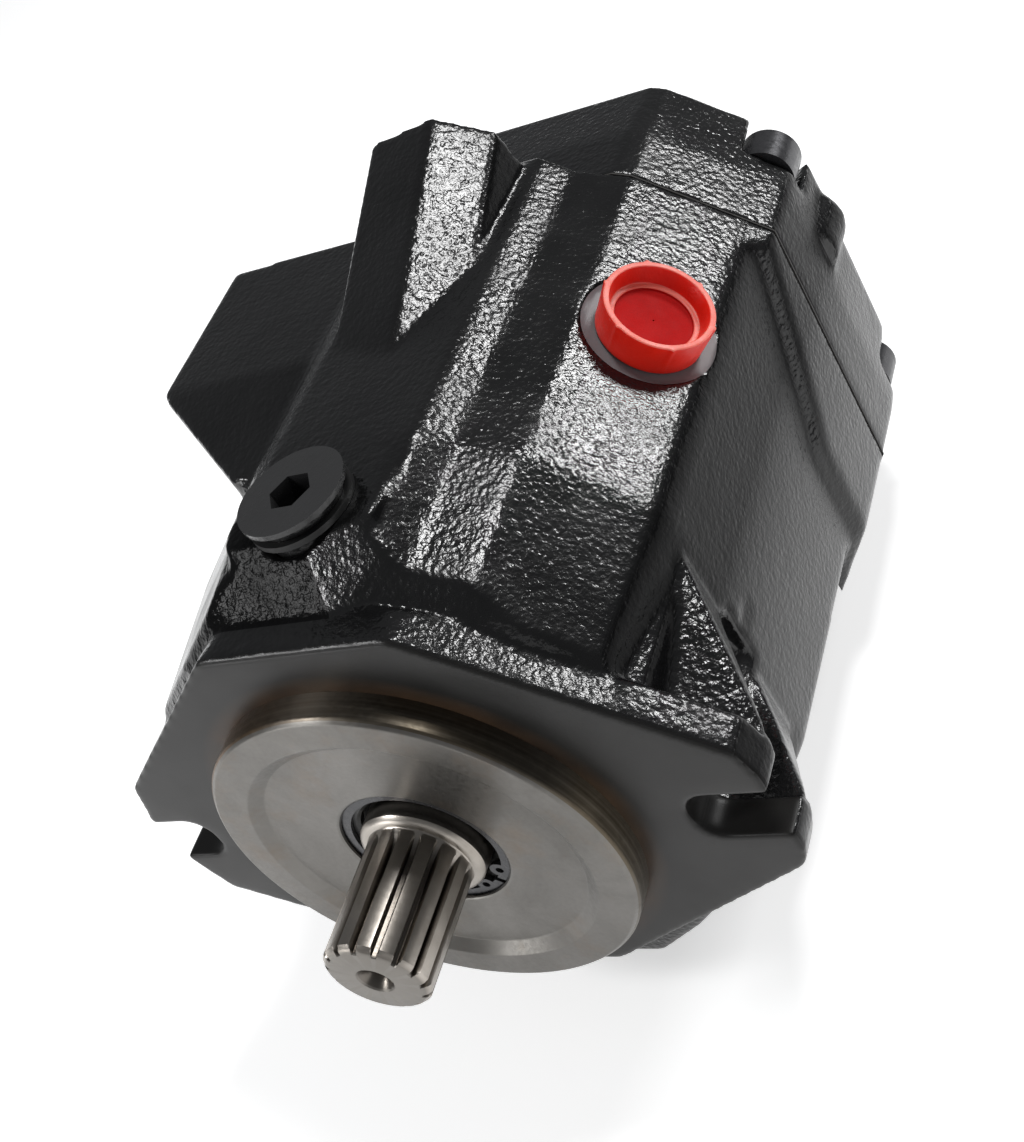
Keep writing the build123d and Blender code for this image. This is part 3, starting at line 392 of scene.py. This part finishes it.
def lathe(name, points, place, material, body, radius=0.3, segments=128, wobble=None):
    """Turned form. place maps (x, y, along) in metres to the row frame."""
    profile = softened(points, radius)
    verts, faces = [], []
    for r, h in profile:
        for k in range(segments):
            a = 2 * pi * k / segments
            rr, hh = wobble(r, h, a) if wobble else (r, h)
            verts.append(place(rr * cos(a) / 1000, rr * sin(a) / 1000, hh / 1000))
    for i in range(len(profile) - 1):
        for k in range(segments):
            j = (k + 1) % segments
            faces.append((i * segments + k, i * segments + j, (i + 1) * segments + j, (i + 1) * segments + k))
    return new_object(name, verts, faces, material, body)


def along_shaft(a, b, h):
    return Vector((a, h, b))


def facing(made):
    """Turn all faces outwards."""
    bm = bmesh.new()
    bm.from_mesh(made.data)
    bmesh.ops.recalc_face_normals(bm, faces=bm.faces)
    bm.to_mesh(made.data)
    bm.free()
    return made


VOXEL = 0.0009
SHRINK, SWELL = 0.6, -0.42                      # alternating steps that smooth without losing volume
FLARE_X, FLARE_Y, FLARE_STEPS = 0.063, 0.088, 60
DRAFT = 0.09


def drafted(co):
    """Give the flange's sloping upper edges a draft towards the back, in place."""
    across, upward = FLANGE_EDGE
    for side in (-1, 1):
        reach = side * co[:, 0] * across + co[:, 2] * upward
        edge = (co[:, 1] > 0) & (co[:, 1] < FLANGE_BACK) & (side * co[:, 0] > 0.02) & (co[:, 2] > 0.035)
        limit = np.max(reach[edge])
        outer = edge & (reach > limit - 0.0035)
        sink = co[outer, 1] * DRAFT
        co[outer, 0] -= side * across * sink
        co[outer, 2] -= upward * sink


def casting(name, node, iterations, crisp, material, body, clip=(), reshape=None):
    """Remeshed and softened copy of a CAD casting. crisp(co) is 1 where edges stay sharp."""
    mesh = nodes[node].data.copy()
    source = bpy.data.objects.new(name + "_source", mesh)
    scene.collection.objects.link(source)
    remesh = source.modifiers.new("remesh", "REMESH")
    remesh.mode = "VOXEL"
    remesh.voxel_size = VOXEL
    graph = bpy.context.evaluated_depsgraph_get()
    dense = bpy.data.meshes.new_from_object(source.evaluated_get(graph))
    bpy.data.objects.remove(source)
    made = bpy.data.objects.new(name, dense)
    scene.collection.objects.link(made)
    count = len(dense.vertices)
    co = np.empty(count * 3)
    dense.vertices.foreach_get("co", co)
    co = co.reshape(-1, 3)
    edges = np.empty(len(dense.edges) * 2, dtype=np.int64)
    dense.edges.foreach_get("vertices", edges)
    edges = edges.reshape(-1, 2)
    degree = np.bincount(edges.ravel(), minlength=count).astype(float)[:, None]
    degree[degree == 0] = 1
    give = (1.0 - crisp(co))[:, None]
    if reshape:
        reshape(co)
    flare = give * ((np.abs(co[:, 0]) > FLARE_X) & (co[:, 1] > FLARE_Y))[:, None]
    for step in range(iterations * 2 + FLARE_STEPS):
        total = np.zeros_like(co)
        for axis in range(3):
            total[:, axis] = (np.bincount(edges[:, 0], weights=co[edges[:, 1], axis], minlength=count)
                              + np.bincount(edges[:, 1], weights=co[edges[:, 0], axis], minlength=count))
        factor = SHRINK if step % 2 == 0 else SWELL
        co = co + (total / degree - co) * (give if step < iterations * 2 else flare) * factor
    dense.vertices.foreach_set("co", co.ravel())
    if clip:
        bm = bmesh.new()
        bm.from_mesh(dense)
        for point, normal in clip:
            geometry = bm.verts[:] + bm.edges[:] + bm.faces[:]
            cut = bmesh.ops.bisect_plane(bm, geom=geometry, plane_co=point, plane_no=normal, clear_outer=True)
            rim = [e for e in cut["geom_cut"] if isinstance(e, bmesh.types.BMEdge)]
            bmesh.ops.triangle_fill(bm, edges=rim, use_beauty=True)
        bmesh.ops.recalc_face_normals(bm, faces=bm.faces)
        bm.to_mesh(dense)
        bm.free()
    dense.materials.clear()
    dense.materials.append(material)
    dense.shade_smooth()
    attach(made, body)
    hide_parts(node)
    return made


def bevelled(node, width, material):
    """A CAD node kept as it is, with eased edges and a material."""
    made = nodes[node]
    if width:
        bevel = made.modifiers.new("eased", "BEVEL")
        bevel.width = width
        bevel.segments = 2
        bevel.limit_method = "ANGLE"
        bevel.angle_limit = radians(38)
        bevel.use_clamp_overlap = True
    made.data.materials.clear()
    made.data.materials.append(material)


# ------------------------------------------------------------------ castings
def housing_crisp(co):
    """Sharp at the flange front, the bores and the cover joint; soft elsewhere."""
    keep = np.zeros(len(co))
    radius = np.hypot(co[:, 0], co[:, 2])
    keep[(co[:, 1] < -0.0005)] = 1
    keep[(radius < 0.0275) & (co[:, 1] < 0.03)] = 1
    keep[co[:, 1] > 0.1462] = 1
    axis = np.array(PORT_AXIS)
    rel = co - np.array(PORT_SEAT)
    out = np.linalg.norm(rel - np.outer(rel @ axis, axis), axis=1)
    keep[(out < 0.0172) & (rel @ axis > -0.006)] = 1
    return keep


def cover_crisp(co):
    """Sharp at the joint and on the faced rear pads."""
    keep = np.zeros(len(co))
    keep[co[:, 1] < 0.1485] = 1
    keep[co[:, 1] > 0.1912] = 1
    return keep


casting("pump_casting", "housing", 16, housing_crisp, PAINT, "pump_case",
        clip=[((0, 0, 0), (0, -1, 0))], reshape=drafted)
casting("cover_casting", "end_cover", 12, cover_crisp, PAINT_REAR, "pump_case")

pilot = lathe(
    "pilot_boss",
    [(50.8, 1.5), (50.8, -6.8), (49.6, -8.0), (41.6, -8.0), (38.4, -5.6), (20.8, -5.6), (20.0, -5.0),
     (20.0, -4.65), (21.1, -4.65), (21.1, -3.35), (20.0, -3.35), (20.0, 3.9), (26, 3.9), (26, 1.5)],
    along_shaft, MACHINED, "pump_case", radius=0.35, segments=192,
)
facing(pilot)


# ------------------------------------------------------------------ drive shaft
def build_shaft():
    """Splined shaft: tapered cutter run-out, chamfered tip, centre drilling."""
    teeth, angles = 15, 15 * 20
    radius, depth = 12.5, 1.75
    run_out_y, run_out_length = -8.8, 4.5
    stations = [(-22.0, 0.3), (-22.6, 2.0), (-35.0, 2.0), (-38.3, 3.9), (-39.0, 4.5)]
    splined_from = len(stations)
    stations += [(-39.0, 10.6), (-38.6, 11.4), (-38.2, 11.9), (-37.5, radius)]
    stations += [(-37.5 + k * 0.95, radius) for k in range(1, 31)]
    splined_to = len(stations)
    stations += [(-8.3, radius), (-8.0, 12.7), (-7.8, 13.6), (-7.3, 14.5), (-6.5, 15.0), (19.6, 15.0)]
    stations += [(19.6, 17.0), (24.0, 17.0), (24.0, radius), (146.0, radius), (147.0, 10.0)]
    stations += [(164.0, 10.0), (165.0, 9.0), (165.0, 0.3)]
    verts, faces = [], []
    for index, (y, r) in enumerate(stations):
        for k in range(angles):
            a = 2 * pi * k / angles
            phase = (a * teeth / (2 * pi)) % 1.0
            flank = abs(phase - 0.5) * 2
            groove = min(1.0, max(0.0, (0.35 - flank) / 0.13))
            groove = groove * groove * (3 - 2 * groove)
            run_out = min(1.0, max(0.0, (run_out_y - y) / run_out_length)) ** 0.7
            limit = radius - depth * groove * run_out
            rr = min(r, limit) if splined_from <= index < splined_to else r
            verts.append(Vector((rr * cos(a) / 1000, y / 1000, rr * sin(a) / 1000)))
    for i in range(len(stations) - 1):
        for k in range(angles):
            j = (k + 1) % angles
            faces.append((i * angles + k, i * angles + j, (i + 1) * angles + j, (i + 1) * angles + k))
    made = new_object("splined_shaft", verts, faces, SHAFT, "rotor")
    facing(made)
    made.data.set_sharp_from_angle(angle=radians(32))
    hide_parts("drive_shaft")


build_shaft()


# ------------------------------------------------------------------ shipping cap
def build_cap():
    """Turned cap with six burrs on its rim, a pale rim top, a painted highlight on the ledge and a dull floor
    painted darker as shade.
    """
    axis = Vector(PORT_AXIS)
    seat = Vector(PORT_SEAT) - axis * 0.00095
    side = Vector((0, 1, 0))
    third = axis.cross(side)

    def place(a, b, h):
        return seat + side * a + third * b + axis * h

    def nubs(r, h, a):
        """Six small burrs on the outer edge of the rim."""
        if r > 12.8 and h > 8.0:
            lift = max(0.0, cos((a - radians(27)) * 6)) ** 30
            return r + 0.5 * lift, h + 0.12 * lift
        return r, h

    made = lathe(
        "red_cap",
        [(0.2, -9.9), (9.6, -9.9), (9.85, -9.5), (9.85, -0.3), (12.5, 0.0), (12.95, 0.4), (13.25, 8.2),
         (13.3, 8.75), (13.1, 9.0), (12.0, 9.0), (11.85, 8.8), (10.75, 4.8), (10.5, 4.6), (9.65, 4.55),
         (9.45, 4.4), (9.3, 3.8), (0.2, 3.7)],
        place, RED, "cap", radius=0.16, segments=192, wobble=nubs,
    )
    mesh = made.data
    mesh.materials.append(RED_PALE)
    mesh.materials.append(RED_SHADED_FLOOR)
    for face in mesh.polygons:
        rel = face.center - seat
        height = rel.dot(axis) * 1000
        radius = (rel - axis * rel.dot(axis)).length * 1000
        # Pale rim top; the ledge's pale ring is a painted highlight.
        if (height > 8.82 and radius > 11.8) or (4.3 < height < 4.75 and 9.2 < radius < 11):
            face.material_index = 1
        # The cup floor gets the darker red: painted shade.
        elif 3.0 < height < 4.3 and radius < 9.5:
            face.material_index = 2
    facing(made)
    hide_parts("shipping_cap")


build_cap()


# ------------------------------------------------------------------ spool spring
def build_spool_spring():
    """Copy of the spool spring's coil in spring steel, baked in place."""
    source = nodes["spool_spring"]
    made = bpy.data.objects.new("spool_coil", source.data.copy())
    made.matrix_world = source.matrix_world.copy()
    scene.collection.objects.link(made)
    made.data.materials.clear()
    made.data.materials.append(SPRING)
    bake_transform(made)
    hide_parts("spool_spring")


build_spool_spring()

# ------------------------------------------------------------------ carried-over nodes
finishes = [
    (BLACK_STEEL, 0.0004, ["cover_bolts", "compensator_screws"]),
    (PLUG_PAINT, 0.0003, ["case_plug"]),
    (PAINT_REAR, 0.0007, ["compensator_body"]),
    (FIBRE, 0.0, ["cover_gasket"]),
    (RUBBER, 0.0003, ["case_plug_seal", "shaft_seal"]),
    (BLACK_STEEL, 0.00015, ["seal_retaining_ring"]),
    (SPRING, 0.00015, ["spring_snap_ring"]),
    (SPRING, 0.0, ["block_spring", "bias_spring"]),
    (BRONZE, 0.0003, ["valve_plate", "cradle_bearing_left", "cradle_bearing_right"]),
    (BRONZE, 0.0003, [f"slipper_{i + 1}" for i in range(9)]),
    (STEEL, 0.0003, [f"piston_{i + 1}" for i in range(9)]),
    (STEEL, 0.0003, ["front_bearing_cup", "front_bearing_cone", "rear_bearing_ring", "cylinder_block"]),
    (STEEL, 0.0003, ["ball_guide", "push_pins", "retainer_plate", "swash_plate", "valve_plate_pin"]),
    (STEEL, 0.0003, ["stroking_piston", "stroking_sleeve", "bias_piston", "bias_sleeve", "spool"]),
    (STEEL, 0.0003, ["valve_plug", "adjuster_plug", "adjusting_screw", "lock_nut", "spring_washers"]),
    (STEEL, 0.0, ["front_bearing_rollers", "rear_bearing_rollers"]),
]
for material, width, names in finishes:
    for name in names:
        bevelled(name, width, material)


# ------------------------------------------------------------------ floor, lights, camera
def build_floor():
    """Plain white floor just below the pump."""
    level = cad_low[2] - 0.0002
    size = 4.0
    verts = [(-size, -size, level), (size, -size, level), (size, size, level), (-size, size, level)]
    mesh = bpy.data.meshes.new("floor")
    mesh.from_pydata(verts, [], [(0, 1, 2, 3)])
    floor = bpy.data.objects.new("floor", mesh)
    scene.collection.objects.link(floor)
    s = Shader("floor_white")
    s.bsdf.inputs["Base Color"].default_value = (0.93, 0.93, 0.93, 1)
    s.bsdf.inputs["Roughness"].default_value = 0.9
    s.bsdf.inputs["Specular IOR Level"].default_value = 0.1
    s.bsdf.inputs["Emission Color"].default_value = (1, 1, 1, 1)
    s.bsdf.inputs["Emission Strength"].default_value = 0.55
    mesh.materials.append(s.mat)


build_floor()
centre = Vector((0.0, 0.07, 0.0))


def softbox(name, direction, distance, width, height, radiance, long_axis=(0, 0, 1)):
    """A rectangular area light aimed at the middle of the pump."""
    data = bpy.data.lights.new(name, "AREA")
    data.shape = "RECTANGLE"
    data.size = width
    data.size_y = height
    data.energy = radiance * pi * width * height
    made = bpy.data.objects.new(name, data)
    back = Vector(direction).normalized()
    up = Vector(long_axis)
    up = (up - back * up.dot(back)).normalized()
    right = up.cross(back)
    turn = Matrix((right, up, back)).transposed().to_4x4()
    made.matrix_world = Matrix.Translation(centre + back * distance) @ turn
    scene.collection.objects.link(made)


softbox("window", (0.54, 0.655, 0.53), 1.3, 0.34, 0.14, 40.0, long_axis=(-0.31, 0.75, -0.58))
softbox("roof_light", (0.27, 0.30, 0.915), 1.3, 0.26, 0.3, 32.0, long_axis=(-0.2, 0.9, -0.3))
softbox("upper_left", (-0.575, -0.48, 0.66), 1.3, 0.26, 0.26, 26.0)
softbox("front_left", (-0.62, -0.75, 0.1), 1.4, 0.4, 0.5, 5.0)
softbox("front_low", (0.1, -1.0, 0.25), 1.6, 1.2, 0.5, 0.5)

world = bpy.data.worlds.new("studio")
world.use_nodes = True
world.node_tree.nodes["Background"].inputs["Color"].default_value = (0.95, 0.97, 1.0, 1)
world.node_tree.nodes["Background"].inputs["Strength"].default_value = 0.17
scene.world = world
scene.view_settings.view_transform = "Standard"
scene.view_settings.look = "None"

FRAME_WIDTH = 1024.0
FOCAL_PIXELS = 1735.0
CAMERA_AT = (0.2332, -0.1897, 0.2651)
camera_data = bpy.data.cameras.new("camera")
camera_data.sensor_fit = "HORIZONTAL"
camera_data.sensor_width = 36.0
camera_data.lens = FOCAL_PIXELS / FRAME_WIDTH * camera_data.sensor_width
camera_data.clip_start = 0.01
camera = bpy.data.objects.new("camera", camera_data)
right, forward = Vector((0.838, 0.283, -0.466)), Vector((-0.533, 0.603, -0.593))
forward.normalize()
right = (right - forward * right.dot(forward)).normalized()
up = right.cross(forward)
camera_turn = Matrix((right, up, -forward)).transposed().to_4x4()
camera.matrix_world = Matrix.Translation(CAMERA_AT) @ camera_turn
scene.collection.objects.link(camera)
scene.camera = camera
